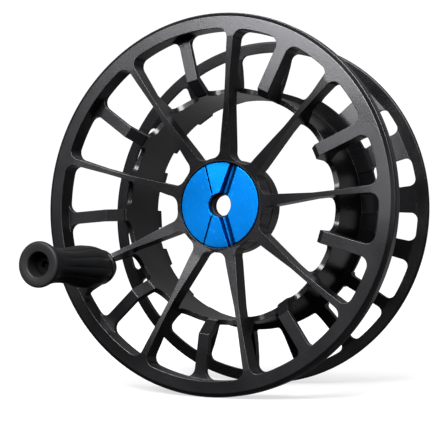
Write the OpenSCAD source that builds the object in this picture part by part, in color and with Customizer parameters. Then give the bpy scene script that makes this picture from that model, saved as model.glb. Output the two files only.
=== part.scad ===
// Spool of a large-arbor fly reel, with its winding handle and one-way clutch.
// The spindle axis runs along Y: the front face looks to -Y and +Z is up. The origin is on the
// spindle axis, at the middle of the spindle bush.
// Every module draws in the spool's own view: x to the right, y up and h towards the front,
// with h = 0 at the front rim's face. spool_frame() turns that into the part's frame.

/* [Rims] */
// Outside diameter of the front rim
front_d = 108.6; // [107:0.2:110]
// Outside diameter of the rear rim
rear_d = 103.8; // [102:0.2:105]
// Overall width over both rims
spool_w = 37.4; // [37:0.1:39]
// Radial width of the front rim
rim_face = 4.6; // [4:0.1:5]
// Axial depth of the front rim
rim_depth = 5.9; // [5.5:0.1:6.5]
// Radial width of the rear rim
rear_rim_w = 3.3; // [3:0.1:4]
// Axial depth of the rear rim
rear_rim_depth = 1.4; // [1.2:0.1:2]

/* [Spokes and ribs] */
// Number of long spokes, with a short rib between each pair
spokes = 9; // [9:1:9]
// Angle of the first long spoke above the horizontal
spoke_angle = 4.5; // [0:0.5:10]
// Width of a long spoke where it meets the rim
spoke_rim_w = 2; // [1.6:0.1:2.6]
// Width of a long spoke at its narrowest, over the arbor
spoke_mid_w = 1.4; // [1.2:0.1:2]
// Width of a long spoke just outside the hub's fillets
spoke_hub_w = 3.2; // [2.6:0.1:4]
// Width of a short rib
rib_w = 3.4; // [3:0.1:4]
// Thickness of the recessed short ribs
rib_t = 1.7; // [1.5:0.1:2.2]
// Width of the rear flange's plain ribs at the rear rim
rear_rib_w = 3.5; // [3:0.1:5]
// Corner radius of the windows along the front rim
window_r = 2.6; // [2:0.1:3]
// Corner radius of the windows along the rear rim
rear_window_r = 2.1; // [1.8:0.1:3]

/* [Arbor] */
// Inside diameter of the arbor ring
arbor_d = 65.4; // [64:0.2:67]
// Wall of the arbor ring
arbor_t = 1.5; // [1.4:0.1:2]
// Depth of the arbor's front edge behind the front face
arbor_front = 12; // [11:0.1:12.5]
// Depth of the arbor's rear edge behind the front face
arbor_rear = 28.5; // [28:0.1:29.5]

/* [Hub] */
// Outside diameter of the hub barrel
hub_d = 27.2; // [27:0.2:28]
// Depth of the hub cap's face behind the front face
cap_depth = 5.1; // [5:0.1:5.6]
// Depth of the hub barrel's rear end behind the front face
hub_rear = 17; // [17:0.1:18]
// Diameter of the hub cap
cap_d = 24.4; // [24:0.1:24.6]
// Diameter of the spindle bush's bore
spindle_d = 6; // [5.9:0.05:6.1]
// Diameter of the drive shaft that the clutch grips
clutch_shaft_d = 16; // [15.9:0.05:16.1]

/* [Handle] */
// Distance of the handle's axis from the spindle
handle_r = 40.7; // [40:0.1:41]
// Angle of the handle's axis, counted like the spokes
handle_angle = 206.8; // [205:0.2:208]
// Distance from the front face to the knob's outer end
handle_len = 32.2; // [30:0.2:33]

/* [Hidden] */
$fn = 96;

// Radii of the rims, the arbor and the hub
front_r = front_d / 2;
rim_in_r = front_r - rim_face;
rear_r = rear_d / 2;
rear_in_r = rear_r - rear_rim_w;
arbor_in_r = arbor_d / 2;
arbor_out_r = arbor_in_r + arbor_t;
hub_r = hub_d / 2;
cap_r = cap_d / 2;
pitch = 360 / spokes;

// The short ribs opposite the handle are full depth, to balance it. The others are recessed.
counter_set = [0, 1, 8];
recessed_set = [2, 3, 4, 5, 6, 7];
// The rear flange: its ribs' extra width opposite the handle, counted in half pitches, the radius of
// the web along the arbor, wider opposite the handle, and the degrees each rib leans towards that side
rear_extra = [4.8, 4.8, 4.8, 0, 0, 0, 0, 0, 0, 0, 0, 0, 0, 0, 0, 0, 0, 2.4];
rear_web_plain = 35.8;
rear_web_wide = 37.6;
rear_shift = [-0.5, -0.8, -1, -1.8, -1.8, -1.3, -1.2, -0.9, -0.4, 0, 0.6, 1.6, 1.7, 2, 1.6, 1.1, 0.7, 1.3];
// Section of a rear rib, dished from the arbor's rear edge out to the rear rim
rear_section = [[arbor_in_r - 1, -29], [arbor_out_r + 0.2, -29], [arbor_out_r + 1.5, -30.2],
                [arbor_out_r + 3, -31.6], [arbor_out_r + 6.3, -33.1],
                [rear_in_r - 0.6, rear_rim_depth - spool_w], [rear_in_r + 1, rear_rim_depth - spool_w],
                [rear_in_r + 1, -spool_w], [rear_in_r - 0.6, -spool_w], [arbor_out_r + 10, -36.7],
                [arbor_out_r + 6, -35.5], [arbor_out_r + 2, -33.8], [arbor_in_r - 1, -31]];

// How the webs run from the flange down to the arbor
web_foot = 10.5;
web_run = 4.1;
spoke_over_arbor = 7;
flare_r = 3.2;
spoke_hub_rear = 10.3;
bend = 2.7;
bend_drop = 2.7;
counter_bend = 0.6;
counter_drop = 1.2;
blunt = 0.45;
plate_w = 18;

// Depths of the hub's parts, measured down from the front face
cap_t = 2;
pocket_floor = cap_depth + cap_t;
wall_rear = pocket_floor + 2.2;
bush_mid = (pocket_floor + wall_rear) / 2;
bush_r = 4.6;
bush_flange_r = 6;
bush_flange_t = 0.6;
pocket_r = cap_r + 0.2;
cap_hole_r = 3.5;

// Grip relief of the cap: two grooves, each with a shallow ramp that starts at an offset line
groove_angle = 72;
groove_w = 2.9;
groove_t = 1.3;
ramp_angle = 108;
ramp_start = [-2.7, 3.4];
ramp_slope = 6;

// The cap's screws, on a circle in the hub's front wall
cap_screw_pcr = 8.4;
cap_screw_r = 1;
cap_screw_head_r = 1.9;
cap_screw_head_t = 1;
cap_screw_angles = [20, 160, 200, 340];
cap_screw_len = 3.2;

// The clutch: a drawn shell, its cage, rollers and springs, and what holds it in the barrel
shaft_r = clutch_shaft_d / 2;
clutch_out_r = 11;
washer_t = 0.5;
clutch_front = wall_rear + washer_t;
clutch_len = 5.4;
clutch_rear = clutch_front + clutch_len;
clutch_mid = (clutch_front + clutch_rear) / 2;
shell_t = 0.8;
lip_t = 0.6;
lip_in_r = shaft_r + 0.6;
shell_in_r = clutch_out_r - shell_t;
rollers = 8;
roller_r = 1.08;
roller_pos_r = shaft_r + roller_r + 0.01;
roller_len = 3;
cage_len = clutch_len - 2 * lip_t - 0.1;
cage_in_r = shaft_r + 0.2;
cage_out_r = shell_in_r - 0.15;
pocket_half = roller_r + 0.06;
spring_room = 0.9;
spring_t = 0.12;
ring_t = 0.8;
ring_in_r = 9.6;
ring_out_r = 11.6;
ring_gap = 5;

// The handle, measured outwards from the front face
boss_r = 5.2;
boss_foot_r = 2.7;
boss_depth = 5.5;
neck_t = 3.6;
boss_h = 0.3;
wave_t = 0.3;
knob_base = boss_h + 0.35;
post_r = 2;
post_bore_r = 1.55;
post_seat = 1;
recess_r = 3.35;
recess_floor = handle_len - 7.4;
bush_flange = 0.75;
post_end = recess_floor + bush_flange + 0.05;
bush_seat_r = 2.9;
knob_bush_in_r = post_r + 0.05;
knob_bush_len = 5;
knob_bore_r = 2.4;
thread_r = 1.5;
screw_tip = 5;
screw_head_r = 2.6;
screw_head_t = 2.2;
screw_washer_t = 0.5;
hex_r = 1.25;

// The knob's outline: radii at its base, bulb, waist and flare, and where the last three stand
base_r = 5.3;
bulb_r = 6.15;
waist_r = 4.95;
flare_end_r = 6.4;
bulb_h = 8;
waist_h = 19.5;
flare_h = handle_len - 0.7;
curve_steps = 8;

// Moves the spool's own view into the part's frame
module spool_frame()
{
    translate([0, -bush_mid, 0])
        rotate([90, 0, 0])
            children();
}

// Angle of long spoke i, and of the short rib that follows it
function spoke_at(i) = spoke_angle + pitch * i;
function rib_at(i) = spoke_at(i) + pitch / 2;

// A ring turned about the spindle axis: outline points are [radius, h]
module turned(outline)
{
    rotate_extrude($fn = 180)
        polygon(outline);
}

// A plate standing on the radius at angle a: outline points are [radius, h]
module radial_plate(a, w, outline)
{
    rotate([0, 0, a])
        rotate([90, 0, 0])
            linear_extrude(w, center = true)
                polygon(outline);
}

// A front view of a bar at angle a, as tall as the whole spool
module front_view(a)
{
    rotate([0, 0, a])
        translate([0, 0, -spool_w - 1])
            linear_extrude(spool_w + 3)
                children();
}

// Corner fillets between a radial bar of half width hw and the inside of a circle of radius ri.
// Both kinds stop just short of the point where they touch the circle, to leave no feather edge.
module rim_corners(hw, ri, rc)
{
    cy = hw + rc;
    cx = sqrt(pow(ri - rc, 2) - pow(cy, 2));
    tip = cy * ri / (ri - rc) - blunt;
    for (side = [0, 1])
        mirror([0, side, 0])
            difference()
            {
                translate([cx, hw - 0.2])
                    square([ri - cx, tip - hw + 0.2]);
                translate([cx, cy])
                    circle(rc);
            }
}

// Corner fillets between a radial bar of half width hw and the outside of a circle of radius ro
module hub_corners(hw, ro, rc)
{
    cy = hw + rc;
    cx = sqrt(pow(ro + rc, 2) - pow(cy, 2));
    tip = cy * ro / (ro + rc) - blunt;
    foot = ro - 2;
    for (side = [0, 1])
        mirror([0, side, 0])
            difference()
            {
                translate([foot, hw - 0.3])
                    square([cx - foot, tip - hw + 0.3]);
                translate([cx, cy])
                    circle(rc);
            }
}

// What its children hold between two radii
module between(r_low, r_high)
{
    intersection()
    {
        difference()
        {
            translate([0, 0, -spool_w])
                cylinder(r = r_high, h = spool_w + 1, $fn = 180);
            translate([0, 0, -spool_w - 1])
                cylinder(r = r_low, h = spool_w + 3, $fn = 180);
        }
        children();
    }
}

// A place on the handle's axis
module at_handle()
{
    rotate([0, 0, handle_angle])
        translate([handle_r, 0, 0])
            children();
}

module front_rim()
{
    chamfer = 1;
    color("#3b3b40")
        spool_frame()
            turned([[rim_in_r, 0], [front_r - chamfer, 0], [front_r - 0.2, -0.7], [front_r, -1.1],
                    [front_r, -3.9], [front_r - 0.8, -4.9], [front_r - 2.2, -rim_depth],
                    [rim_in_r, -rim_depth]]);
}

// One long spoke: flush with the rim outside the arbor, then sloping back to the hub
module long_spoke(a)
{
    widen_r = arbor_out_r + 2;
    hub_hw = spoke_hub_w / 2;
    mid_hw = spoke_mid_w / 2;
    rim_hw = spoke_rim_w / 2;
    between(hub_r, rim_in_r)
        intersection()
        {
            radial_plate(a, plate_w, [[hub_r - 1, -cap_depth], [25, -2.9], [35, -1.35],
                                      [rim_in_r - 2, 0], [rim_in_r + 1, 0],
                                      [rim_in_r + 1, -rim_depth], [arbor_out_r + web_run, -rim_depth],
                                      [arbor_out_r, -web_foot], [arbor_out_r, -spoke_over_arbor],
                                      [arbor_in_r, -spoke_over_arbor], [hub_r - 1, -spoke_hub_rear]]);
            front_view(a)
            {
                polygon([[hub_r - 1, -hub_hw], [hub_r + 3, -hub_hw], [arbor_in_r - 3, -mid_hw],
                         [widen_r, -mid_hw], [rim_in_r + 1, -rim_hw], [rim_in_r + 1, rim_hw],
                         [widen_r, mid_hw], [arbor_in_r - 3, mid_hw], [hub_r + 3, hub_hw],
                         [hub_r - 1, hub_hw]]);
                rim_corners(rim_hw, rim_in_r, window_r);
                hub_corners(hub_hw, hub_r, window_r);
            }
        }
}

// The neck that joins the handle's boss to the rim
module handle_neck()
{
    hw = boss_r - 0.4;
    between(handle_r, rim_in_r)
        intersection()
        {
            radial_plate(handle_angle, plate_w, [[handle_r - 1, 0], [rim_in_r + 1, 0],
                                                 [rim_in_r + 1, -neck_t], [handle_r - 1, -1]]);
            front_view(handle_angle)
            {
                translate([handle_r - 1, -hw])
                    square([rim_in_r - handle_r + 2, 2 * hw]);
                rim_corners(hw, rim_in_r, window_r);
            }
        }
}

module long_spokes()
{
    color("#35353a")
        spool_frame()
            difference()
            {
                union()
                {
                    for (i = [0 : spokes - 1])
                        long_spoke(spoke_at(i));
                    handle_neck();
                    at_handle()
                        turned([[0, boss_h], [boss_r, boss_h], [boss_r, -1], [boss_foot_r, -boss_depth],
                                [0, -boss_depth]]);
                }
                at_handle()
                {
                    translate([0, 0, boss_h - post_seat])
                        cylinder(r = post_r, h = post_seat + 1);
                    translate([0, 0, -rim_depth - 1])
                        cylinder(r = thread_r, h = rim_depth + boss_h + 1);
                }
            }
}

// One short rib from the rim to the arbor's outside: face is how deep its front face lies, and its
// end slopes back by drop over the last run
module short_rib(a, w, face, run, drop)
{
    between(arbor_out_r, rim_in_r)
        intersection()
        {
            radial_plate(a, plate_w, [[rim_in_r + 1, -face], [arbor_out_r + run, -face],
                                      [arbor_out_r, -face - drop], [arbor_out_r - 1, -face - drop],
                                      [arbor_out_r - 1, -web_foot], [arbor_out_r, -web_foot],
                                      [arbor_out_r + web_run, -rim_depth], [rim_in_r + 1, -rim_depth]]);
            front_view(a)
            {
                translate([arbor_out_r - 2, -w / 2])
                    square([rim_in_r - arbor_out_r + 3, w]);
                rim_corners(w / 2, rim_in_r, window_r);
            }
        }
}

module recessed_ribs()
{
    color("#3f3f43")
        spool_frame()
            for (i = recessed_set)
                short_rib(rib_at(i), rib_w, rim_depth - rib_t, bend, bend_drop);
}

module counter_ribs()
{
    color("#46464b")
        spool_frame()
            for (i = counter_set)
                short_rib(rib_at(i), rib_w, 0, counter_bend, counter_drop);
}

// The arbor's tooth under a spoke or rib, from depth top at the outside to top_in at the inside
module arbor_tooth(a, w, top, top_in)
{
    hw = w / 2;
    side = hw + flare_r;
    between(arbor_in_r, arbor_out_r)
        intersection()
        {
            radial_plate(a, 2 * side, [[arbor_in_r - 0.5, -top_in], [arbor_in_r, -top_in],
                                       [arbor_out_r, -top], [arbor_out_r + 0.5, -top],
                                       [arbor_out_r + 0.5, -arbor_front - 1],
                                       [arbor_in_r - 0.5, -arbor_front - 1]]);
            rotate([0, 0, a])
                translate([arbor_in_r - 2, 0, 0])
                    rotate([90, 0, 90])
                        linear_extrude(arbor_t + 4)
                            difference()
                            {
                                translate([-side, -arbor_front - 1])
                                    square([2 * side, arbor_front + 1]);
                                for (s = [-1, 1])
                                {
                                    translate([s * side, flare_r - arbor_front])
                                        circle(flare_r);
                                    translate([s * (side + hw) - side, flare_r - arbor_front])
                                        square([2 * (side - hw), arbor_front]);
                                }
                            }
        }
}

module arbor()
{
    recessed_top = rim_depth - rib_t + bend_drop;
    recessed_slope = arbor_t * bend_drop / bend;
    counter_slope = arbor_t * counter_drop / counter_bend;
    color("#4a4a4e")
        spool_frame()
        {
            turned([[arbor_in_r, -arbor_front], [arbor_out_r, -arbor_front], [arbor_out_r, -arbor_rear],
                    [arbor_in_r, -arbor_rear]]);
            for (i = [0 : spokes - 1])
                arbor_tooth(spoke_at(i), spoke_mid_w, spoke_over_arbor, spoke_over_arbor);
            for (i = recessed_set)
                arbor_tooth(rib_at(i), rib_w, recessed_top, recessed_top + recessed_slope);
            for (i = counter_set)
                arbor_tooth(rib_at(i), rib_w, counter_drop, counter_drop + counter_slope);
        }
}

// Angle of the rear flange's rib i
function rear_at(i) = spoke_angle + i * pitch / 2 + rear_shift[i];

// One rib of the rear flange, out to the rear rim. What it has in extra width narrows inwards.
module rear_rib(a, w, extra)
{
    inner_hw = (w + extra * 0.3) / 2;
    outer_hw = (w + extra) / 2;
    between(arbor_in_r, rear_in_r)
        intersection()
        {
            radial_plate(a, plate_w, rear_section);
            front_view(a)
            {
                polygon([[arbor_in_r - 2, -inner_hw], [rear_in_r + 1, -outer_hw],
                         [rear_in_r + 1, outer_hw], [arbor_in_r - 2, inner_hw]]);
                rim_corners(outer_hw, rear_in_r, rear_window_r);
            }
        }
}

// The web that flares out from the arbor's rear edge to radius r
module rear_web(r)
{
    between(arbor_in_r, r)
        turned([[arbor_in_r, -arbor_rear], [arbor_out_r, -arbor_rear], [arbor_out_r + 1.4, -30.5],
                [rear_web_wide, -32.2], [rear_web_wide, -33.8], [arbor_in_r, -29.3]]);
}

module rear_ribs()
{
    far = 2 * front_r;
    start = rear_at(17) - 360;
    end = rear_at(3);
    middle = (start + end) / 2;
    color("#414146")
        spool_frame()
        {
            for (i = [0 : 2 * spokes - 1])
                rear_rib(rear_at(i), rear_rib_w, rear_extra[i]);
            rear_web(rear_web_plain);
            intersection()
            {
                rear_web(rear_web_wide);
                front_view(0)
                    polygon([[0, 0], far * [cos(start), sin(start)], far * [cos(middle), sin(middle)],
                             far * [cos(end), sin(end)]]);
            }
        }
}

module rear_rim()
{
    inner_face = spool_w - rear_rim_depth;
    color("#3b3b40")
        spool_frame()
            turned([[rear_in_r, -inner_face], [rear_r - 0.4, -inner_face], [rear_r, -inner_face - 0.5],
                    [rear_r, -spool_w + 0.5], [rear_r - 0.5, -spool_w], [rear_in_r, -spool_w]]);
}

// Barrel of the hub: the cap's pocket in front, a thin wall, and the clutch's bore behind
module hub_barrel()
{
    groove_rear = clutch_rear + ring_t;
    flange_seat = pocket_floor + bush_flange_t;
    color("#38383d")
        spool_frame()
            difference()
            {
                turned([[pocket_r, -cap_depth], [hub_r, -cap_depth], [hub_r, -hub_rear],
                        [clutch_out_r, -hub_rear], [clutch_out_r, -groove_rear], [ring_out_r, -groove_rear],
                        [ring_out_r, -clutch_rear], [clutch_out_r, -clutch_rear],
                        [clutch_out_r, -wall_rear], [bush_r, -wall_rear], [bush_r, -flange_seat],
                        [bush_flange_r, -flange_seat], [bush_flange_r, -pocket_floor],
                        [pocket_r, -pocket_floor]]);
                for (a = cap_screw_angles)
                    rotate([0, 0, a])
                        translate([cap_screw_pcr, 0, -wall_rear])
                        {
                            translate([0, 0, -1])
                                cylinder(r = cap_screw_head_r, h = cap_screw_head_t + 1);
                            cylinder(r = cap_screw_r, h = wall_rear - pocket_floor + 1);
                        }
            }
}

// What one grip groove and its ramp take out of the cap, for the upper half
module grip_cut()
{
    translate([0, 0, -cap_depth])
    {
        rotate([0, 0, groove_angle])
            translate([0, -groove_w / 2, -groove_t])
                cube([cap_r + 1, groove_w, groove_t + 1]);
        intersection()
        {
            translate([0, 0, -groove_t])
                linear_extrude(groove_t + 1)
                    polygon([ramp_start * 1.2, ramp_start * 1.2 + 12 * [cos(ramp_angle), sin(ramp_angle)],
                             14 * [cos(groove_angle), sin(groove_angle)], [0, 0]]);
            translate([ramp_start[0], ramp_start[1], 0])
                rotate([0, 0, ramp_angle])
                    rotate([ramp_slope, 0, 0])
                        translate([-8, -14, 0])
                            cube([24, 16, 3]);
        }
    }
}

module hub_cap()
{
    color("#0a87f5")
        spool_frame()
            difference()
            {
                turned([[cap_hole_r, -cap_depth], [cap_r - 0.2, -cap_depth], [cap_r, -cap_depth - 0.2],
                        [cap_r, -pocket_floor], [cap_hole_r, -pocket_floor]]);
                grip_cut();
                mirror([0, 1, 0])
                    grip_cut();
                for (a = cap_screw_angles)
                    rotate([0, 0, a])
                        translate([cap_screw_pcr, 0, -pocket_floor - 1])
                            cylinder(r = cap_screw_r, h = 1 + cap_screw_len - (wall_rear - pocket_floor));
            }
}

// Countersunk-style screws that hold the cap from behind the hub's front wall
module cap_screws()
{
    color("#9a9aa0")
        spool_frame()
            for (a = cap_screw_angles)
                rotate([0, 0, a])
                    translate([cap_screw_pcr, 0, -wall_rear])
                        difference()
                        {
                            union()
                            {
                                cylinder(r = cap_screw_head_r, h = cap_screw_head_t);
                                cylinder(r = cap_screw_r, h = cap_screw_len);
                            }
                            translate([0, 0, -0.1])
                                cylinder(r = 0.75, h = 0.8, $fn = 6);
                        }
}

module spindle_bush()
{
    color("#2a2a2d")
        spool_frame()
            turned([[spindle_d / 2, -pocket_floor], [bush_flange_r, -pocket_floor],
                    [bush_flange_r, -pocket_floor - bush_flange_t], [bush_r, -pocket_floor - bush_flange_t],
                    [bush_r, -wall_rear], [spindle_d / 2, -wall_rear]]);
}

module thrust_washer()
{
    color("#e4e1d6")
        spool_frame()
            turned([[lip_in_r, -wall_rear], [clutch_out_r - 0.1, -wall_rear],
                    [clutch_out_r - 0.1, -clutch_front], [lip_in_r, -clutch_front]]);
}

module clutch_shell()
{
    color("#b9bcc2")
        spool_frame()
            turned([[lip_in_r, -clutch_front], [clutch_out_r, -clutch_front], [clutch_out_r, -clutch_rear],
                    [lip_in_r, -clutch_rear], [lip_in_r, -clutch_rear + lip_t],
                    [shell_in_r, -clutch_rear + lip_t], [shell_in_r, -clutch_front - lip_t],
                    [lip_in_r, -clutch_front - lip_t]]);
}

module clutch_cage()
{
    pocket_len = roller_len + 0.1;
    color("#f0ead8")
        spool_frame()
            difference()
            {
                turned([[cage_in_r, -clutch_mid + cage_len / 2], [cage_out_r, -clutch_mid + cage_len / 2],
                        [cage_out_r, -clutch_mid - cage_len / 2], [cage_in_r, -clutch_mid - cage_len / 2]]);
                for (i = [0 : rollers - 1])
                    rotate([0, 0, i * 360 / rollers])
                        translate([cage_in_r - 1, -pocket_half, -clutch_mid - pocket_len / 2])
                            cube([cage_out_r - cage_in_r + 2, 2 * pocket_half + spring_room, pocket_len]);
            }
}

// One leaf spring a pocket, between the pocket's end and the roller
module clutch_springs()
{
    seat = pocket_half + spring_room;
    tip = roller_r + 0.07;
    color("#c9ccd2")
        spool_frame()
            for (i = [0 : rollers - 1])
                rotate([0, 0, i * 360 / rollers])
                    translate([roller_pos_r, 0, -clutch_mid - 1])
                        linear_extrude(2)
                            polygon([[0.75, seat], [0.75, seat - spring_t], [0.06, tip], [-0.06, tip],
                                     [-0.75, seat - spring_t], [-0.75, seat], [0, tip + spring_t * 1.5]]);
}

module clutch_roller(i)
{
    color("#d9dce2")
        spool_frame()
            rotate([0, 0, i * 360 / rollers])
                translate([roller_pos_r, 0, -clutch_mid - roller_len / 2])
                    cylinder(r = roller_r, h = roller_len);
}

// Internal circlip with an ear at each end
module retaining_ring()
{
    ear_r = 1.3;
    ear_angle = asin((ring_gap / 2 + ear_r) / ring_in_r);
    color("#2b2b2e")
        spool_frame()
            translate([0, 0, -clutch_rear - ring_t])
                linear_extrude(ring_t)
                    difference()
                    {
                        union()
                        {
                            difference()
                            {
                                circle(ring_out_r);
                                circle(ring_in_r);
                                translate([0, -ring_gap / 2])
                                    square([ring_out_r + 1, ring_gap]);
                            }
                            for (s = [-1, 1])
                                rotate(s * ear_angle)
                                    translate([ring_in_r, 0])
                                        circle(ear_r);
                        }
                        for (s = [-1, 1])
                            rotate(s * ear_angle)
                                translate([ring_in_r, 0])
                                    circle(0.55);
                    }
}

module handle_post()
{
    color("#c4c6cc")
        spool_frame()
            at_handle()
                turned([[post_bore_r, boss_h - post_seat], [post_r, boss_h - post_seat],
                        [post_r, post_end], [post_bore_r, post_end]]);
}

module handle_screw()
{
    head = post_end + screw_washer_t;
    color("#55565a")
        spool_frame()
            at_handle()
                difference()
                {
                    union()
                    {
                        translate([0, 0, -screw_tip])
                            cylinder(r = thread_r, h = head + screw_tip);
                        translate([0, 0, head])
                            cylinder(r = screw_head_r, h = screw_head_t);
                    }
                    translate([0, 0, head + screw_head_t - 1.3])
                        cylinder(r = hex_r, h = 2, $fn = 6);
                }
}

module screw_washer()
{
    color("#aeb0b6")
        spool_frame()
            at_handle()
                turned([[post_bore_r, post_end], [3.1, post_end], [3.1, post_end + screw_washer_t],
                        [post_bore_r, post_end + screw_washer_t]]);
}

module wave_washer()
{
    color("#b4b6bc")
        spool_frame()
            at_handle()
                turned([[post_r + 0.1, boss_h], [3.9, boss_h], [3.9, boss_h + wave_t],
                        [post_r + 0.1, boss_h + wave_t]]);
}

// Points of the knob's outside, from its base over the bulb and the waist to the flared end
function knob_bulb(t) = [base_r + (bulb_r - base_r) * sin(90 * t), knob_base + (bulb_h - knob_base) * t];
function knob_waist(t) = [bulb_r + (waist_r - bulb_r) * sin(90 * t), bulb_h + (waist_h - bulb_h) * t];
function knob_flare(t) = [waist_r + (flare_end_r - waist_r) * pow(t, 3), waist_h + (flare_h - waist_h) * t];
knob_side = concat([for (i = [0 : curve_steps - 1]) knob_bulb(i / curve_steps)],
                   [for (i = [0 : curve_steps - 1]) knob_waist(i / curve_steps)],
                   [for (i = [0 : curve_steps]) knob_flare(i / curve_steps)]);

module knob()
{
    inner_end = knob_base + knob_bush_len;
    outer_start = recess_floor - knob_bush_len;
    color("#26262a")
        spool_frame()
            at_handle()
                turned(concat(knob_side,
                              [[flare_end_r - 0.5, handle_len], [recess_r + 0.6, handle_len],
                               [recess_r, handle_len - 0.6], [recess_r, recess_floor],
                               [bush_seat_r, recess_floor], [bush_seat_r, outer_start],
                               [knob_bore_r, outer_start], [knob_bore_r, inner_end],
                               [bush_seat_r, inner_end], [bush_seat_r, knob_base]]));
}

module knob_outer_bush()
{
    color("#e9e4d2")
        spool_frame()
            at_handle()
                turned([[knob_bush_in_r, recess_floor - knob_bush_len],
                        [bush_seat_r, recess_floor - knob_bush_len], [bush_seat_r, recess_floor],
                        [recess_r - 0.05, recess_floor], [recess_r - 0.05, recess_floor + bush_flange],
                        [knob_bush_in_r, recess_floor + bush_flange]]);
}

module knob_inner_bush()
{
    color("#e9e4d2")
        spool_frame()
            at_handle()
                turned([[knob_bush_in_r, knob_base], [bush_seat_r, knob_base],
                        [bush_seat_r, knob_base + knob_bush_len],
                        [knob_bush_in_r, knob_base + knob_bush_len]]);
}

front_rim();
long_spokes();
recessed_ribs();
counter_ribs();
arbor();
rear_ribs();
rear_rim();
hub_barrel();
hub_cap();
cap_screws();
spindle_bush();
thrust_washer();
clutch_shell();
clutch_cage();
clutch_springs();
clutch_roller(0);  // clutch_roller_1
clutch_roller(1);  // clutch_roller_2
clutch_roller(2);  // clutch_roller_3
clutch_roller(3);  // clutch_roller_4
clutch_roller(4);  // clutch_roller_5
clutch_roller(5);  // clutch_roller_6
clutch_roller(6);  // clutch_roller_7
clutch_roller(7);  // clutch_roller_8
retaining_ring();
handle_post();
handle_screw();
screw_washer();
wave_washer();
knob();
knob_outer_bush();
knob_inner_bush();
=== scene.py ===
"""Looks of the fly reel spool: a finer billet, hub cap and knob, with materials, stage, lights and camera.

Shapes are drawn in the spool's own view, in mm: x to the right, y up and z (called h) towards the front,
with h = 0 at the front rim's face. TO_FRAME turns that view into the frame, in metres.
"""

from math import atan2, cos, degrees, pi, radians, sin, sqrt

import bmesh
import bpy
from mathutils import Matrix, Vector


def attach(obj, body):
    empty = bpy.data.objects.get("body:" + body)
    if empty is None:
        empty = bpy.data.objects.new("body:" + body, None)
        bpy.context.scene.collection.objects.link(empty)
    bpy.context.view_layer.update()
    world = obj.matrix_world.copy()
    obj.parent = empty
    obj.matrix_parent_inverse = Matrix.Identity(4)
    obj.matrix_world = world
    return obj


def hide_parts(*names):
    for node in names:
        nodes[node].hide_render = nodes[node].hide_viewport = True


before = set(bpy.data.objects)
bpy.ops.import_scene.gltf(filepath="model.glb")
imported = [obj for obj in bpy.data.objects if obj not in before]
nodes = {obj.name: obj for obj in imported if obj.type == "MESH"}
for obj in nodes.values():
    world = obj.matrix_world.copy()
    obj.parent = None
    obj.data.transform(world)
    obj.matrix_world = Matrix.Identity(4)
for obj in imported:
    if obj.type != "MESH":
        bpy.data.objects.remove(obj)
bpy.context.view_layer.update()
scene = bpy.context.scene

MM = 0.001
# The frame's origin lies this far behind the front rim's face
BUSH_MID = 8.2
TO_FRAME = Matrix.Translation((0, -BUSH_MID * MM, 0)) @ Matrix.Rotation(pi / 2, 4, "X") @ Matrix.Scale(MM, 4)

# Sizes in mm, angles in degrees from the x axis. RIM, REAR and ARBOR are the front rim, the rear rim and
# the arbor ring: IN and OUT are radii there, and FRONT, REAR, FOOT and H are values of h.
RIM_IN, RIM_REAR = 49.7, -5.9
REAR_IN, WEB_PLAIN, WEB_WIDE = 48.6, 35.8, 37.6
ARBOR_IN, ARBOR_OUT, ARBOR_FRONT, ARBOR_REAR = 32.7, 34.2, -12.0, -28.5
HUB_R, POCKET_R, CAP_H, POCKET_H, HUB_REAR = 13.6, 12.4, -5.1, -7.1, -17.0
# Fillet radii in the windows and at the arbor's teeth, and where the spokes' webs meet the arbor
WINDOW_R, FLARE_R, WEB_FOOT = 2.6, 3.2, -10.5
# Spokes and ribs end inside the rim, so that they join it
INTO_RIM, SIDE_END = 50.7, 51.0
SPOKES, SPOKE_0, PITCH = 9, 4.5, 40.0
# The short ribs, by the spoke that each follows: flush ones opposite the knob, and recessed ones
COUNTER, RECESSED, RIB_HALF = (0, 1, 8), (2, 3, 4, 5, 6, 7), 1.7
# The rear ribs' width, what some have on top of it, and how far each is turned from an even spacing
REAR_RIBS, REAR_WIDTH, REAR_EXTRA = 18, 3.5, {0: 4.8, 1: 4.8, 2: 4.8, 17: 2.4}
REAR_SHIFT = (-0.5, -0.8, -1, -1.8, -1.8, -1.3, -1.2, -0.9, -0.4, 0, 0.6, 1.6, 1.7, 2, 1.6, 1.1, 0.7, 1.3)
HANDLE_R, HANDLE_ANGLE = 40.7, 206.8
SCREW_R, SCREW_ANGLES = 8.4, (20, 160, 200, 340)
GROOVE_ANGLE, RAMP_ANGLE, RAMP_CORNER = 71.5, 106.0, (-2.62, 3.35)
ON_AXIS = 0.0001


# ---------------------------------------------------------------- mesh tools
def new_object(name, verts, faces):
    """A mesh object with its normals turned outwards."""
    mesh = bpy.data.meshes.new(name)
    mesh.from_pydata([tuple(v) for v in verts], [], faces)
    bm = bmesh.new()
    bm.from_mesh(mesh)
    bmesh.ops.recalc_face_normals(bm, faces=bm.faces)
    bm.to_mesh(mesh)
    bm.free()
    obj = bpy.data.objects.new(name, mesh)
    scene.collection.objects.link(obj)
    return obj


def lathe(name, outline, steps=240, shape=None):
    """A closed outline of (radius, h) turned about the h axis. shape(r, h, angle) may change the radius."""
    n, verts, faces = len(outline), [], []
    for i in range(steps):
        a = 2 * pi * i / steps
        for r, h in outline:
            rr = shape(r, h, a) if shape else r
            verts.append((rr * cos(a), rr * sin(a), h))
    for i in range(steps):
        k = (i + 1) % steps
        for j in range(n):
            m = (j + 1) % n
            faces.append((i * n + j, k * n + j, k * n + m, i * n + m))
    return new_object(name, verts, faces)


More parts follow.
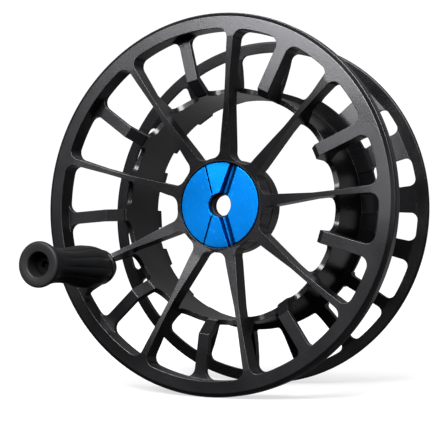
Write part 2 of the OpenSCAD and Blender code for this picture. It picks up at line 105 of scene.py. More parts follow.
def prism(name, outline, low, high):
    """A front view outline (x, y) given depth from low to high."""
    n = len(outline)
    verts = [(x, y, low) for x, y in outline] + [(x, y, high) for x, y in outline]
    faces = [tuple(range(n - 1, -1, -1)), tuple(range(n, 2 * n))]
    faces += [(j, (j + 1) % n, n + (j + 1) % n, n + j) for j in range(n)]
    return new_object(name, verts, faces)


def upright(name, outline, half):
    """A side view outline (radius, h) standing on the x axis, from y = -half to half."""
    n = len(outline)
    verts = [(x, -half, h) for x, h in outline] + [(x, half, h) for x, h in outline]
    faces = [tuple(range(n)), tuple(range(2 * n - 1, n - 1, -1))]
    faces += [((j + 1) % n, j, n + j, n + (j + 1) % n) for j in range(n)]
    return new_object(name, verts, faces)


def arc(cx, cy, r, start, end, steps=14):
    span = [radians(start + (end - start) * i / steps) for i in range(steps + 1)]
    return [(cx + r * cos(t), cy + r * sin(t)) for t in span]


def spun(obj, angle, copy=True):
    """obj, or a copy of it, turned about the spindle axis."""
    if copy:
        obj = bpy.data.objects.new(obj.name, obj.data.copy())
        scene.collection.objects.link(obj)
    obj.data.transform(Matrix.Rotation(radians(angle), 4, "Z"))
    return obj


def moved(obj, x, y, z=0.0):
    obj.data.transform(Matrix.Translation((x, y, z)))
    return obj


def boolean(base, tools, operation):
    """Applies the operation to base with all the tools, and removes them."""
    group = bpy.data.collections.new("tools")
    scene.collection.children.link(group)
    for tool in tools:
        group.objects.link(tool)
    step = base.modifiers.new("step", "BOOLEAN")
    step.operation = operation
    step.operand_type = "COLLECTION"
    step.collection = group
    step.solver = "EXACT"
    bpy.context.view_layer.update()
    graph = bpy.context.evaluated_depsgraph_get()
    mesh = bpy.data.meshes.new_from_object(base.evaluated_get(graph))
    base.modifiers.clear()
    old, base.data = base.data, mesh
    bpy.data.meshes.remove(old)
    for tool in tools:
        bpy.data.objects.remove(tool)
    bpy.data.collections.remove(group)
    return base


def tidy(obj, merge=0.004, flat=0.4):
    """Joins points that coincide and dissolves edges inside flat faces."""
    bm = bmesh.new()
    bm.from_mesh(obj.data)
    bmesh.ops.remove_doubles(bm, verts=bm.verts, dist=merge)
    bmesh.ops.dissolve_degenerate(bm, edges=bm.edges, dist=merge)
    bmesh.ops.dissolve_limit(bm, angle_limit=radians(flat), verts=bm.verts, edges=bm.edges)
    bmesh.ops.recalc_face_normals(bm, faces=bm.faces)
    bm.to_mesh(obj.data)
    bm.free()
    return obj


def smooth(obj, sharp=28):
    """Smooth shading, with edges sharper than the angle kept crisp."""
    mesh = obj.data
    mesh.shade_smooth()
    mesh.set_sharp_from_angle(angle=radians(sharp))
    weigh = obj.modifiers.new("weighted normals", "WEIGHTED_NORMAL")
    weigh.keep_sharp = True
    weigh.weight = 90
    return obj


def finish_piece(obj, name, body, material, replaced):
    """Puts a finished piece into the frame, on its body, in place of the CAD nodes that it redraws."""
    obj.name = name
    obj.data.name = name
    obj.data.transform(TO_FRAME)
    obj.data.materials.clear()
    obj.data.materials.append(material)
    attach(obj, body)
    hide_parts(*replaced)


# ---------------------------------------------------------------- the billet
def bar(stations, inner=None, outer=None):
    """Front view outline of a bar along x, from stations of (x, half width).

    inner and outer are either the end's x, or (circle radius, fillet radius, end x) where fillets join the
    bar to a round wall.
    """
    side = []
    x0, hw = stations[0]
    if isinstance(inner, tuple):
        ring, r, end = inner
        cy = hw + r
        cx = sqrt((ring + r) ** 2 - cy * cy)
        t = degrees(atan2(cy, cx))
        pts = arc(cx - 0.03, cy, r, 180 + t, 270)
        side += [(end, pts[0][1])] + pts
    else:
        side += [(inner, hw)]
    side += stations[1:-1] if isinstance(inner, tuple) or isinstance(outer, tuple) else stations
    x1, hw = stations[-1]
    if isinstance(outer, tuple):
        ring, r, end = outer
        cy = hw + r
        cx = sqrt((ring - r) ** 2 - cy * cy)
        t = degrees(atan2(cy, cx))
        pts = arc(cx + 0.03, cy, r, 270, 360 + t)
        side += pts + [(end, pts[-1][1])]
    else:
        side += [(outer, hw)]
    return side + [(x, -y) for x, y in reversed(side)]


def cut_bar(name, front, sidewise, low=-37.0, high=1.0):
    """The solid that has both outlines: front seen from the front, sidewise seen from the side."""
    piece = prism(name, front, low, high)
    return boolean(piece, [upright("side", sidewise, 9.0)], "INTERSECT")


def long_spoke():
    """A spoke that falls in a slight curve from the rim's face to the hub, with its web to the arbor."""
    front = bar([(15.6, 1.6), (16.6, 1.6), (29.8, 0.7), (36.4, 0.7), (47.0, 1.0)],
                inner=(HUB_R, WINDOW_R, 12.75), outer=(RIM_IN, WINDOW_R, INTO_RIM))
    top = [(12.0, -5.19), (16.0, -4.62), (20.0, -3.83), (25.0, -2.88), (30.0, -2.06), (35.0, -1.33),
           (40.0, -0.72), (44.0, -0.28), (RIM_IN - 2, 0.0), (SIDE_END, 0.0)]
    back = [(SIDE_END, RIM_REAR + 0.1), (38.5, RIM_REAR), (ARBOR_OUT, WEB_FOOT), (33.2, WEB_FOOT),
            (ARBOR_IN, -7.0), (12.0, -10.4)]
    return cut_bar("spoke", front, top + back)


def short_rib(face, run, drop):
    """A rib that lies face below the rim's front and falls by drop over the last run before the arbor."""
    front = bar([(33.0, RIB_HALF), (34.0, RIB_HALF), (40.0, RIB_HALF), (46.9, RIB_HALF)],
                inner=33.0, outer=(RIM_IN, WINDOW_R, INTO_RIM))
    bend, foot = ARBOR_OUT + run, ARBOR_IN + 0.08
    slope = drop / run
    side = [(SIDE_END, -face), (bend, -face), (foot, -face - slope * (bend - foot)), (foot, WEB_FOOT),
            (ARBOR_OUT, WEB_FOOT), (38.3, RIM_REAR), (SIDE_END, RIM_REAR + 0.1)]
    return cut_bar("rib", front, side)


def rear_at(i):
    return SPOKE_0 + i * PITCH / 2 + REAR_SHIFT[i]


def rear_rib(i):
    """Rib i of the rear flange, dished from the arbor's rear edge out to the rear rim."""
    extra = REAR_EXTRA.get(i, 0)
    low, high = (REAR_WIDTH + 0.3 * extra) / 2, (REAR_WIDTH + extra) / 2
    web = WEB_WIDE if extra and i != 2 else WEB_PLAIN

    def half(x):
        return low + (high - low) * (x - 30.7) / 19.3

    front = bar([(36.0, half(36.0)), (39.5, half(39.5)), (43.0, half(43.0)), (46.0, half(46.5))],
                inner=(web, 0.9, 33.3), outer=(REAR_IN, 2.1, 49.8))
    top = [(33.0, -28.3), (34.2, -28.5), (35.6, -30.2), (37.2, -31.55), (38.8, -32.45),
           (40.5, -33.1), (44.5, -34.65), (48.0, -36.15), (50.4, -36.1)]
    back = [(50.4, -37.38), (48.0, -37.35), (44.2, -36.7), (40.2, -35.5), (38.0, -34.65),
            (36.2, -33.8), (34.4, -32.7), (33.0, -31.7)]
    return cut_bar("rear rib", front, top + back, low=-40.0)


def rear_web(r):
    """The thin web that flares from the arbor's rear edge to radius r."""
    rise = (r - 35.6) / (WEB_WIDE - 35.6)
    outer = [(35.6, -30.5), (r, -30.5 - 1.7 * rise)] if rise > 0 else [(r, -30.5 + (35.6 - r) * 1.43)]
    return lathe("web", [(ARBOR_IN + 0.05, -28.4), (34.25, -28.4)] + outer +
                 [(r, -28.5 - (r - ARBOR_IN) * 1.08), (ARBOR_IN + 0.05, -28.6)], 240)


def arbor_columns():
    """The arbor's front edge as columns of (angle, h on the side before, h on the side after)."""
    mid = (ARBOR_IN + ARBOR_OUT) / 2
    spoke_tooth, rib_tooth = (0.62, -6.6), (1.66, -8.8)
    round_steps = (8, 18, 28, 38, 48, 58, 68, 79, 90)

    def deg(s):
        return degrees(s / mid)

    columns = []
    for i in range(2 * SPOKES):
        spoke = i % 2 == 0
        hw, top = spoke_tooth if spoke else rib_tooth
        next_hw = rib_tooth[0] if spoke else spoke_tooth[0]
        at = SPOKE_0 + i * PITCH / 2
        side = hw + FLARE_R
        steps = (0,) + round_steps if spoke else round_steps
        flare = [(side - FLARE_R * cos(t), ARBOR_FRONT + FLARE_R * (1 - sin(t)))
                 for t in map(radians, steps)]
        left = [(at - deg(s), z) for s, z in reversed(flare)]
        right = [(at + deg(s), z) for s, z in flare]
        columns += [(a, z, z) for a, z in left[:-1]]
        columns.append((left[-1][0], left[-1][1], top))
        for k in range(1, 4):
            columns.append((left[-1][0] + (right[0][0] - left[-1][0]) * k / 4, top, top))
        columns.append((right[0][0], top, right[0][1]))
        columns += [(a, z, z) for a, z in right[1:]]
        gap_start, gap_end = right[-1][0], at + PITCH / 2 - deg(next_hw + FLARE_R)
        for k in range(1, 3):
            columns.append((gap_start + (gap_end - gap_start) * k / 3, ARBOR_FRONT, ARBOR_FRONT))
    return columns


def toothed_arbor():
    """The arbor ring as one strip of columns, so that its toothed front edge stays clean."""
    columns = arbor_columns()
    verts, where = [], {}

    def vert(j, r, z):
        key = (j % len(columns), r, round(z, 5))
        if key not in where:
            a = radians(columns[key[0]][0])
            where[key] = len(verts)
            verts.append((r * cos(a), r * sin(a), z))
        return where[key]

    faces = []
    n = len(columns)
    for j in range(n):
        _, left_z, z0 = columns[j]
        _, z1, right_z = columns[(j + 1) % n]
        levels_here = sorted({left_z, z0})
        levels_next = sorted({z1, right_z})
        for r in (ARBOR_IN, ARBOR_OUT):
            loop = [vert(j, r, ARBOR_REAR), vert(j + 1, r, ARBOR_REAR)]
            loop += [vert(j + 1, r, z) for z in levels_next if z <= z1 + 1e-6]
            loop += [vert(j, r, z) for z in reversed(levels_here) if z <= z0 + 1e-6]
            faces.append(tuple(loop))
        faces.append((vert(j, ARBOR_IN, z0), vert(j + 1, ARBOR_IN, z1), vert(j + 1, ARBOR_OUT, z1),
                      vert(j, ARBOR_OUT, z0)))
        faces.append((vert(j, ARBOR_IN, ARBOR_REAR), vert(j + 1, ARBOR_IN, ARBOR_REAR),
                      vert(j + 1, ARBOR_OUT, ARBOR_REAR), vert(j, ARBOR_OUT, ARBOR_REAR)))
        if len(levels_here) == 2:
            low, high = levels_here
            faces.append((vert(j, ARBOR_IN, low), vert(j, ARBOR_IN, high), vert(j, ARBOR_OUT, high),
                          vert(j, ARBOR_OUT, low)))
    return new_object("arbor", verts, faces)


def front_rim():
    face = [(RIM_IN, -0.12), (RIM_IN + 0.12, 0.0), (53.08, 0.0), (53.18, -0.05), (54.05, -0.78)]
    lip = arc(53.7, -1.2, 0.6, 44, 0, 6)
    tail = arc(52.9, -3.6, 1.4, 0, -50, 5)
    back = [(52.9, -5.45), (52.1, -5.9), (RIM_IN + 0.15, -5.9), (RIM_IN, -5.75)]
    return lathe("rim", face + lip + tail + back, 288)


def rear_rim():
    return lathe("rear rim", [(REAR_IN, -36.17), (51.3, -36.0), (51.7, -36.1), (51.88, -36.35),
                              (51.88, -37.0), (51.7, -37.3), (51.4, -37.4), (REAR_IN, -37.4)], 288)


def hub_barrel():
    """The hub: its grooved outside, then the clutch's bore, the bush's seat and the cap's pocket."""
    outside = [(POCKET_R, CAP_H - 0.1), (POCKET_R + 0.1, CAP_H), (13.45, CAP_H), (HUB_R, CAP_H - 0.15),
               (HUB_R, -11.3), (13.5, -11.4), (13.5, -11.9), (HUB_R, -12.0), (HUB_R, -16.75),
               (13.35, HUB_REAR), (11.25, HUB_REAR)]
    bore = [(11.0, -16.75), (11.0, -15.5), (11.6, -15.5), (11.6, -14.7), (11.0, -14.7), (11.0, -9.3)]
    seat = [(4.6, -9.3), (4.6, -7.7), (6.0, -7.7), (6.0, POCKET_H), (POCKET_R, POCKET_H)]
    return lathe("hub", outside + bore + seat, 144)


def knob_boss():
    """The boss behind the knob and the neck that joins it to the rim."""
    boss = lathe("boss", [(ON_AXIS, -5.5), (2.7, -5.5), (3.5, -4.4), (4.4, -2.7), (5.0, -1.4), (5.17, -0.9),
                          (5.2, 0.1), (5.0, 0.3), (ON_AXIS, 0.3)], 72)
    moved(boss, HANDLE_R, 0)
    neck = cut_bar("neck", bar([(39.7, 4.7), (42.0, 4.7), (44.0, 4.7), (46.0, 4.7)], inner=39.7,
                               outer=(RIM_IN, WINDOW_R, INTO_RIM)),
                   [(39.8, -0.02), (SIDE_END, -0.02), (SIDE_END, -3.6), (39.8, -1.0)])
    return [spun(piece, HANDLE_ANGLE, copy=False) for piece in (boss, neck)]


def heavy_web():
    """The wider web opposite the knob, from rear rib 17 round to rear rib 3."""
    start, end = radians(rear_at(17) - 360), radians(rear_at(3))
    sector = prism("sector", [(0, 0), (80 * cos(start), 80 * sin(start)), (80, 0), (80, 40),
                              (80 * cos(end), 80 * sin(end))], -40, -20)
    return boolean(rear_web(WEB_WIDE), [sector], "INTERSECT")


def billet_holes():
    """The knob post's seat and thread, and the four stepped holes for the cap's screws."""
    seat = lathe("post hole", [(ON_AXIS, -0.7), (2.0, -0.7), (2.0, 2.0), (ON_AXIS, 2.0)], 48)
    thread = lathe("thread", [(ON_AXIS, -8.0), (1.5, -8.0), (1.5, -0.5), (ON_AXIS, -0.5)], 48)
    holes = [spun(moved(hole, HANDLE_R, 0), HANDLE_ANGLE, copy=False) for hole in (seat, thread)]
    for a in SCREW_ANGLES:
        hole = lathe("screw hole", [(ON_AXIS, -10.0), (1.9, -10.0), (1.9, -8.3), (1.0, -8.3), (1.0, -6.5),
                                    (ON_AXIS, -6.5)], 32)
        holes.append(spun(moved(hole, SCREW_R, 0), a, copy=False))
    return holes


def build_billet():
    rim = front_rim()
    spoke, deep, flush = long_spoke(), short_rib(4.2, 2.7, 2.7), short_rib(0.0, 0.7, 0.8)
    parts = [toothed_arbor(), rear_rim(), hub_barrel()] + knob_boss()
    parts += [rear_web(WEB_PLAIN), heavy_web()]
    parts += [spun(spoke, SPOKE_0 + PITCH * i) for i in range(SPOKES)]
    parts += [spun(deep, SPOKE_0 + PITCH * (i + 0.5)) for i in RECESSED]
    parts += [spun(flush, SPOKE_0 + PITCH * (i + 0.5)) for i in COUNTER]
    parts += [spun(rear_rib(i), rear_at(i), copy=False) for i in range(REAR_RIBS)]
    for old in (spoke, deep, flush):
        bpy.data.objects.remove(old)
    boolean(rim, parts, "UNION")
    boolean(rim, billet_holes(), "DIFFERENCE")
    return smooth(tidy(rim))


# ---------------------------------------------------------------- the cap
def grip_groove(side):
    """A groove from the spindle hole out past the cap's edge: the upper one, or with side -1 the lower."""
    section = [(1.6, 0.5), (1.6, -0.15), (1.5, -0.45), (0.75, -1.7), (0.55, -1.8), (0.1, -1.8), (-0.1, -1.7),
               (-1.4, -0.45), (-1.6, -0.12), (-1.6, 0.5)]
    verts = [(x, v * side, CAP_H + d) for x in (0.3, 13.2) for v, d in section]
    k = len(section)
    faces = [tuple(range(k)), tuple(range(2 * k - 1, k - 1, -1))]
    faces += [(j, k + j, k + (j + 1) % k, (j + 1) % k) for j in range(k)]
    return spun(new_object("groove", verts, faces), GROOVE_ANGLE * side, copy=False)


def grip_ramp(side):
    """The shallow wedge beside a groove, deepest where it meets the groove."""
    a, g = radians(RAMP_ANGLE), radians(GROOVE_ANGLE)
    x0, y0 = RAMP_CORNER
    across = (cos(a - pi / 2), sin(a - pi / 2))
    foot = [(x0, y0), (x0 + 12.0 * cos(a), y0 + 12.0 * sin(a)), (14.0 * cos(g), 14.0 * sin(g)), (0.35, 1.05)]
    verts = []
    for x, y in foot:
        drop = -0.28 - 0.07 * ((x - x0) * across[0] + (y - y0) * across[1])
        verts.append((x, y * side, CAP_H + drop))
    verts += [(x, y * side, CAP_H + 2.0) for x, y in foot]
    return new_object("ramp", verts, [(0, 1, 2, 3), (7, 6, 5, 4), (0, 4, 5, 1), (1, 5, 6, 2), (2, 6, 7, 3),
                                      (3, 7, 4, 0)])


def ramp_line(side):
    """The thin slot along the wedge's far edge."""
    x0, y0 = RAMP_CORNER
    line = upright("line", [(-0.1, -0.9), (11.0, -0.9), (11.0, 1.0), (-0.1, 1.0)], 0.13)
    line.data.transform(Matrix.Translation((x0, y0 * side, CAP_H)) @
                        Matrix.Rotation(radians(RAMP_ANGLE) * side, 4, "Z"))
    return line


def build_cap():
    cap = lathe("cap", [(3.5, CAP_H - 0.12), (3.62, CAP_H), (12.02, CAP_H), (12.2, CAP_H - 0.18),
                        (12.2, POCKET_H), (3.5, POCKET_H)], 160)
    cuts = []
    for side in (1, -1):
        cuts += [grip_groove(side), grip_ramp(side), ramp_line(side)]
    for a in SCREW_ANGLES:
        hole = lathe("hole", [(ON_AXIS, -8.5), (1.0, -8.5), (1.0, -6.1), (ON_AXIS, -6.1)], 32)
        cuts.append(spun(moved(hole, SCREW_R, 0), a, copy=False))
    for cut in cuts:
        boolean(cap, [cut], "DIFFERENCE")
    return smooth(tidy(cap, 0.002), 20)


# ---------------------------------------------------------------- the knob
def curve_through(points, steps=5):
    """A smooth curve through the points."""
    path = []
    for j in range(len(points) - 1):
        p0, p1 = points[max(j - 1, 0)], points[j]
        p2, p3 = points[j + 1], points[min(j + 2, len(points) - 1)]
        for k in range(steps):
            t = k / steps
            path.append(tuple(0.5 * (2 * b + (c - a) * t + (2 * a - 5 * b + 4 * c - d) * t * t +
                                     (3 * b - a - 3 * c + d) * t ** 3) for a, b, c, d in zip(p0, p1, p2, p3)))
    return path + [points[-1]]


def build_knob():
    foot, flutes, flute_depth, flute_start, flute_end = 0.65, 12, 0.26, 1.2, 27.5
    side = curve_through([(5.25, foot + 0.25), (5.5, 1.9), (5.78, 3.4), (6.03, 5.4), (6.15, 8.0),
                          (6.05, 10.4), (5.72, 13.0), (5.35, 15.6), (5.05, 18.4), (4.95, 21.0),
                          (4.98, 23.4), (5.12, 25.5), (5.42, 27.6), (5.85, 29.3), (6.22, 30.6), (6.38, 31.3)])
    lip = arc(5.63, 31.4, 0.76, 0, 90, 8)[1:]
    mouth = [(4.6, 32.14), (4.2, 32.02)] + arc(3.95, 31.4, 0.6, 90, 180, 6)
    inside = [(3.35, 24.8), (2.9, 24.8), (2.9, 19.8), (2.4, 19.8), (2.4, 5.8), (2.9, 5.8)]

    def fluted(r, h, a):
        if r <= 4.2 or not flute_start < h < flute_end:
            return r
        fade = min(1.0, (h - flute_start) / 2.5, (flute_end - h) / 6.5)
        wave = abs(sin(a * flutes / 2)) ** 0.6
        return r - flute_depth * fade * (1 - wave)

    knob = lathe("knob", [(2.9, foot), (5.05, foot)] + side + lip + mouth + inside, 288, fluted)
    moved(knob, HANDLE_R, 0)
    spun(knob, HANDLE_ANGLE, copy=False)
    return smooth(tidy(knob, 0.001, 0.01), 35)


# ---------------------------------------------------------------- materials
class Shader:
    """A small helper round one node material."""

    def __init__(self, name):
        self.material = bpy.data.materials.new(name)
        self.material.use_nodes = True
        self.tree = self.material.node_tree
        self.tree.nodes.clear()
        self.out = self.add("ShaderNodeOutputMaterial")
        self.bsdf = self.add("ShaderNodeBsdfPrincipled")
        self.link(self.bsdf.outputs[0], self.out.inputs[0])
        self.place = self.add("ShaderNodeTexCoord").outputs["Object"]

    def add(self, kind, **settings):
        node = self.tree.nodes.new(kind)
        for key, value in settings.items():
            setattr(node, key, value)
        return node

    def link(self, a, b):
        self.tree.links.new(a, b)

    def noise(self, scale, detail=3.0, stretch=None):
        node = self.add("ShaderNodeTexNoise")
        node.inputs["Scale"].default_value = scale
        node.inputs["Detail"].default_value = detail
        source = self.place
        if stretch:
            mapping = self.add("ShaderNodeMapping")
            mapping.inputs["Scale"].default_value = stretch
            self.link(source, mapping.inputs["Vector"])
            source = mapping.outputs[0]
        self.link(source, node.inputs["Vector"])
        return node.outputs["Fac"]

    def ramp(self, source, stops):
        node = self.add("ShaderNodeValToRGB")
        for k, (pos, value) in enumerate(stops):
            colour = value if isinstance(value, tuple) else (value, value, value)
            stop = node.color_ramp.elements[k] if k < 2 else node.color_ramp.elements.new(pos)
            stop.position = pos
            stop.color = colour + (1.0,)
        self.link(source, node.inputs["Fac"])
        return node.outputs["Color"]

    def mix(self, fac, a, b):
        node = self.add("ShaderNodeMix", data_type="RGBA")
        for slot, value in ((0, fac), (6, a), (7, b)):
            if hasattr(value, "is_output"):
                self.link(value, node.inputs[slot])
            elif slot == 0:
                node.inputs[0].default_value = value
            else:
                node.inputs[slot].default_value = tuple(value) + (1.0,)
        return node.outputs[2]

    def edges(self, radius, gain):
        """0 on flat faces, up to 1 on convex and concave edges, and the rounded normal."""
        bevel = self.add("ShaderNodeBevel", samples=6)
        bevel.inputs["Radius"].default_value = radius
        plain = self.add("ShaderNodeNewGeometry")
        dot = self.add("ShaderNodeVectorMath", operation="DOT_PRODUCT")
        self.link(bevel.outputs[0], dot.inputs[0])
        self.link(plain.outputs["Normal"], dot.inputs[1])
        left = self.add("ShaderNodeMath", operation="SUBTRACT")
        left.inputs[0].default_value = 1.0
        self.link(dot.outputs["Value"], left.inputs[1])
        up = self.add("ShaderNodeMath", operation="MULTIPLY", use_clamp=True)
        up.inputs[1].default_value = gain
        self.link(left.outputs[0], up.inputs[0])
        return up.outputs[0], bevel.outputs[0]

    def bump(self, height, strength, distance, normal=None):
        node = self.add("ShaderNodeBump")
        node.inputs["Strength"].default_value = strength
        node.inputs["Distance"].default_value = distance
        self.link(height, node.inputs["Height"])
        if normal is not None:
            self.link(normal, node.inputs["Normal"])
        return node.outputs[0]

    def set(self, **values):
        for key, value in values.items():
            socket = self.bsdf.inputs[key.replace("_", " ")]
            if hasattr(value, "is_output"):
                self.link(value, socket)
            elif isinstance(value, (tuple, list)):
                socket.default_value = tuple(value) + (1.0,)
            else:
                socket.default_value = value


def blasted(name, dark, light, rough, metallic, wear_and_highlight_colour, grain=0.35, inner=1.0, painted_shade_colour=None):
    """Bead-blasted, anodised aluminium: fine even grain, faint clouds, and edges lightened as wear and
    painted highlight.

    It is less glossy in the rear flange and, where inner is under 1, towards the hub. The last argument is
    the colour of painted shade, laid by ambient occlusion into grooves and recesses.
    """
    specular, rear = 0.5, 0.3
    s = Shader(name)
    edge, rounded = s.edges(0.0002, 1.6)
    clouds = s.noise(55, 4)
    fine = s.noise(1700, 3)
    speck = s.noise(900, 2)
    colour = s.mix(s.ramp(clouds, ((0.35, 0.0), (0.7, 1.0))), dark, light)
    bright = [min(1.0, v * 1.7 + 0.004) for v in light]
    colour = s.mix(s.ramp(speck, ((0.60, 0.0), (0.74, 0.35))), colour, bright)
    # Edges, convex and concave, are mixed towards the lighter colour under patchy noise: partly wear, partly
    # painted highlight.
    wear_and_highlight = s.add("ShaderNodeMath", operation="MULTIPLY", use_clamp=True)
    s.link(edge, wear_and_highlight.inputs[0])
    s.link(s.ramp(s.noise(420, 3), ((0.42, 0.25), (0.62, 1.0))), wear_and_highlight.inputs[1])
    colour = s.mix(wear_and_highlight.outputs[0], colour, wear_and_highlight_colour)
    # Painted shade: ambient occlusion darkens grooves and recesses towards this colour.
    if painted_shade_colour:
        painted_shade_ao = s.add("ShaderNodeAmbientOcclusion", samples=8)
        painted_shade_ao.inputs["Distance"].default_value = 0.003
        colour = s.mix(s.ramp(painted_shade_ao.outputs["AO"], ((0.55, 0.0), (0.95, 1.0))), painted_shade_colour, colour)
    s.set(Base_Color=colour, Metallic=metallic,
          Roughness=s.ramp(clouds, ((0.3, rough - 0.04), (0.7, rough + 0.05))),
          Normal=s.bump(fine, grain, 0.00005, rounded))
    flat = s.add("ShaderNodeVectorMath", operation="MULTIPLY")
    flat.inputs[1].default_value = (1.0, 0.0, 1.0)
    s.link(s.place, flat.inputs[0])
    reach = s.add("ShaderNodeVectorMath", operation="LENGTH")
    s.link(flat.outputs[0], reach.inputs[0])
    depth = s.add("ShaderNodeSeparateXYZ")
    s.link(s.place, depth.inputs[0])
    gloss = s.add("ShaderNodeMath", operation="MULTIPLY")
    s.link(s.ramp(reach.outputs["Value"], ((0.026, specular * inner), (0.036, specular))), gloss.inputs[0])
    s.link(s.ramp(depth.outputs["Y"], ((0.018, 1.0), (0.0225, rear))), gloss.inputs[1])
    s.link(gloss.outputs[0], s.bsdf.inputs["Specular IOR Level"])
    return s.material


def turned_steel(name, base, rough=0.28):
    """Steel with the fine lines that turning leaves."""
    s = Shader(name)
    edge, rounded = s.edges(0.0001, 1.5)
    lines = s.noise(1500, 2, (1.0, 14.0, 1.0))
    colour = s.mix(s.ramp(lines, ((0.4, 0.0), (0.6, 1.0))), [v * 0.82 for v in base], base)
    # Painted highlight: edges are mixed lighter, as if they caught the light.
    colour = s.mix(edge, colour, [min(1.0, v * 1.25) for v in base])
    s.set(Base_Color=colour, Metallic=1.0,
          Roughness=s.ramp(lines, ((0.3, rough - 0.06), (0.7, rough + 0.08))),
          Normal=s.bump(lines, 0.15, 0.00002, rounded))
    return s.material


def plastic(name, base, rough=0.45, grain=0.2, specular=0.5):
    """Moulded plastic, faintly clouded and grained."""
    s = Shader(name)
    edge, rounded = s.edges(0.00015, 1.2)
    clouds, fine = s.noise(120, 3), s.noise(1800, 2)
    colour = s.mix(s.ramp(clouds, ((0.35, 0.0), (0.65, 1.0))), [v * 0.86 for v in base], base)
    # Painted highlight: edges are mixed lighter, as if they caught the light.
    s.set(Base_Color=s.mix(edge, colour, [min(1.0, v * 1.3 + 0.01) for v in base]),
          Roughness=s.ramp(clouds, ((0.3, rough - 0.05), (0.7, rough + 0.05))),
          Normal=s.bump(fine, grain, 0.00002, rounded))
    s.bsdf.inputs["Specular IOR Level"].default_value = specular
    return s.material


black = blasted("black anodised", (0.0028, 0.0028, 0.0030), (0.0046, 0.0045, 0.0050), 0.29, 0.0,
                (0.06, 0.059, 0.06), inner=0.42)
# The blue gets painted shade in dark navy in its grooves and recesses.
blue = blasted("blue anodised", (0.0012, 0.105, 0.345), (0.0016, 0.118, 0.385), 0.40, 1.0,
               (0.03, 0.30, 0.7), grain=0.3, painted_shade_colour=(0.0006, 0.016, 0.06))
knob_black = plastic("black knob", (0.0105, 0.0105, 0.0105), 0.42, 0.25, 0.12)
steel = turned_steel("stainless", (0.50, 0.50, 0.52))
roller_steel = turned_steel("roller steel", (0.68, 0.69, 0.71), 0.16)
spring_steel = turned_steel("spring steel", (0.008, 0.008, 0.009), 0.45)
acetal = plastic("natural acetal", (0.74, 0.72, 0.64), 0.40, 0.1)
dark_acetal = plastic("black acetal", (0.006, 0.006, 0.007), 0.55, 0.1, 0.2)
nylon = plastic("natural nylon", (0.66, 0.62, 0.50), 0.48, 0.15)

finish_piece(build_billet(), "spool_body", "spool", black,
             ("front_rim", "long_spokes", "recessed_ribs", "counter_ribs", "arbor", "rear_ribs", "rear_rim",
              "hub_barrel"))
finish_piece(build_cap(), "cap_face", "spool", blue, ("hub_cap",))
finish_piece(build_knob(), "fluted_knob", "knob", knob_black, ("knob",))

ROLLERS = 8
node_materials = {"cap_screws": steel, "handle_screw": spring_steel, "clutch_shell": steel,
                  "handle_post": steel, "screw_washer": spring_steel, "wave_washer": spring_steel,
                  "clutch_springs": roller_steel, "retaining_ring": spring_steel, "spindle_bush": dark_acetal,
                  "thrust_washer": acetal, "knob_outer_bush": acetal, "knob_inner_bush": acetal,
                  "clutch_cage": nylon}
node_materials.update({"clutch_roller_%d" % i: roller_steel for i in range(1, ROLLERS + 1)})
for name, material in node_materials.items():
    mesh = nodes[name].data
    mesh.materials.clear()
    mesh.materials.append(material)

# ---------------------------------------------------------------- stage, lights, camera
# The lowest points of the two rims, which the spool stands on, so that the floor leans with them
foot_front = Vector((0, -0.0046, -0.0543))
foot_rear = Vector((0, 0.0278, -0.0519))
lean = atan2(foot_rear.z - foot_front.z, foot_rear.y - foot_front.y)
PAPER = 0.26
FLOOR_EDGE = 0.32


def build_stage(name, profile, glow_and_painted_shade):
    """Pale paper, turned from a profile, whose emission changes with the distance from the spool's foot:
    dimmer emission close to the foot is painted shade.
    """
    steps, verts, faces = 96, [], []
    for i in range(steps + 1):
        a = 2 * pi * i / steps
        verts += [(r * cos(a), r * sin(a), z) for r, z in profile]
    n = len(profile)
    for i in range(steps):
        faces += [(i * n + j, i * n + n + j, i * n + n + j + 1, i * n + j + 1) for j in range(n - 1)]
    stage = new_object(name, verts, faces)
    bm = bmesh.new()
    bm.from_mesh(stage.data)
    bmesh.ops.remove_doubles(bm, verts=bm.verts, dist=1e-6)
    bm.to_mesh(stage.data)
    bm.free()
    stage.data.shade_smooth()
    stage.data.transform(Matrix.Translation(foot_front) @ Matrix.Rotation(lean, 4, "X"))
    s = Shader(name + " paper")
    away = s.add("ShaderNodeVectorMath", operation="LENGTH")
    s.link(s.place, away.inputs[0])
    s.set(Base_Color=s.mix(s.noise(30, 3), (PAPER,) * 3, (PAPER * 1.05,) * 3), Roughness=0.9,
          Emission_Color=s.ramp(away.outputs["Value"], glow_and_painted_shade), Emission_Strength=1.0)
    s.bsdf.inputs["Specular IOR Level"].default_value = 0.0
    stage.data.materials.append(s.material)
    stage.visible_glossy = False
    stage.visible_diffuse = False


floor = [(0.0, 0.0), (0.1, 0.0), (0.2, 0.0), (FLOOR_EDGE, 0.0)]
sweep = [(FLOOR_EDGE, 0.0), (0.8, 0.0)] + arc(1.1, 0.7, 0.7, -90, 0, 15) + [(1.8, 2.4)]
# The floor's emission is dimmer close to the spool: painted shade round its foot. The sweep is evenly bright.
build_stage("floor", floor, ((0.0, 0.34), (0.11, 1.0)))
build_stage("sweep", sweep, ((0.3, 1.0), (0.75, 1.0)))


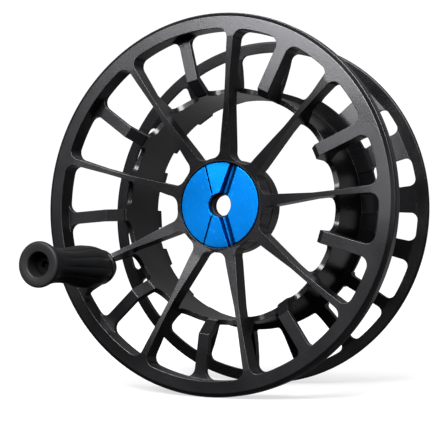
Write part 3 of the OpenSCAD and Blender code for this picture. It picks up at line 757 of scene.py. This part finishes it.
def soft_light(name, place, aim, width, height, radiance, colour=(1.0, 1.0, 1.0)):
    light = bpy.data.lights.new(name, "AREA")
    light.shape = "RECTANGLE"
    light.size, light.size_y = width, height
    light.energy = radiance * pi * width * height
    light.color = colour
    obj = bpy.data.objects.new(name, light)
    obj.location = place
    obj.rotation_euler = (Vector(aim) - Vector(place)).to_track_quat("-Z", "Y").to_euler()
    obj.visible_camera = False
    scene.collection.objects.link(obj)
    return obj


soft_light("front softbox", (-0.01, -0.395, 0.255), (0.0, 0.0, 0.02), 0.42, 0.26, 27.0, (1.0, 0.985, 1.03))
soft_light("top back softbox", (0.14, 0.34, 0.52), (0, 0, 0), 0.5, 0.4, 0.6)
soft_light("right strip", (0.52, -0.24, 0.05), (0, 0, 0), 0.16, 0.24, 0.8)
soft_light("back card", (-0.10, 0.48, 0.06), (0, 0, 0), 0.9, 0.5, 0.18)
soft_light("floor card", (-0.05, 0.30, -0.05), (-0.05, 0.30, 1.0), 0.6, 0.45, 0.15)

# A dim, even room light
world = bpy.data.worlds.new("studio")
world.use_nodes = True
world.node_tree.nodes["Background"].inputs[0].default_value = (0.03, 0.03, 0.031, 1.0)
world.node_tree.nodes["Background"].inputs[1].default_value = 1.0
scene.world = world

# The camera stands in front to the right, a little below the spindle's height
eye = Vector((0.18087, -0.36824, -0.02390))
forward = Vector((-0.4397, 0.8970, 0.0457)).normalized()
right = forward.cross(Vector((0.0, -0.0509, 0.9987))).normalized()
up = right.cross(forward)
lens = bpy.data.cameras.new("camera")
lens.sensor_width = 36.0
lens.lens = 115.29
lens.shift_x, lens.shift_y = -0.0022, -0.0013
lens.clip_start, lens.clip_end = 0.01, 20.0
camera = bpy.data.objects.new("camera", lens)
camera.matrix_world = Matrix(((right.x, up.x, -forward.x, eye.x), (right.y, up.y, -forward.y, eye.y),
                              (right.z, up.z, -forward.z, eye.z), (0, 0, 0, 1)))
scene.collection.objects.link(camera)
scene.camera = camera
scene.view_settings.view_transform = "Standard"
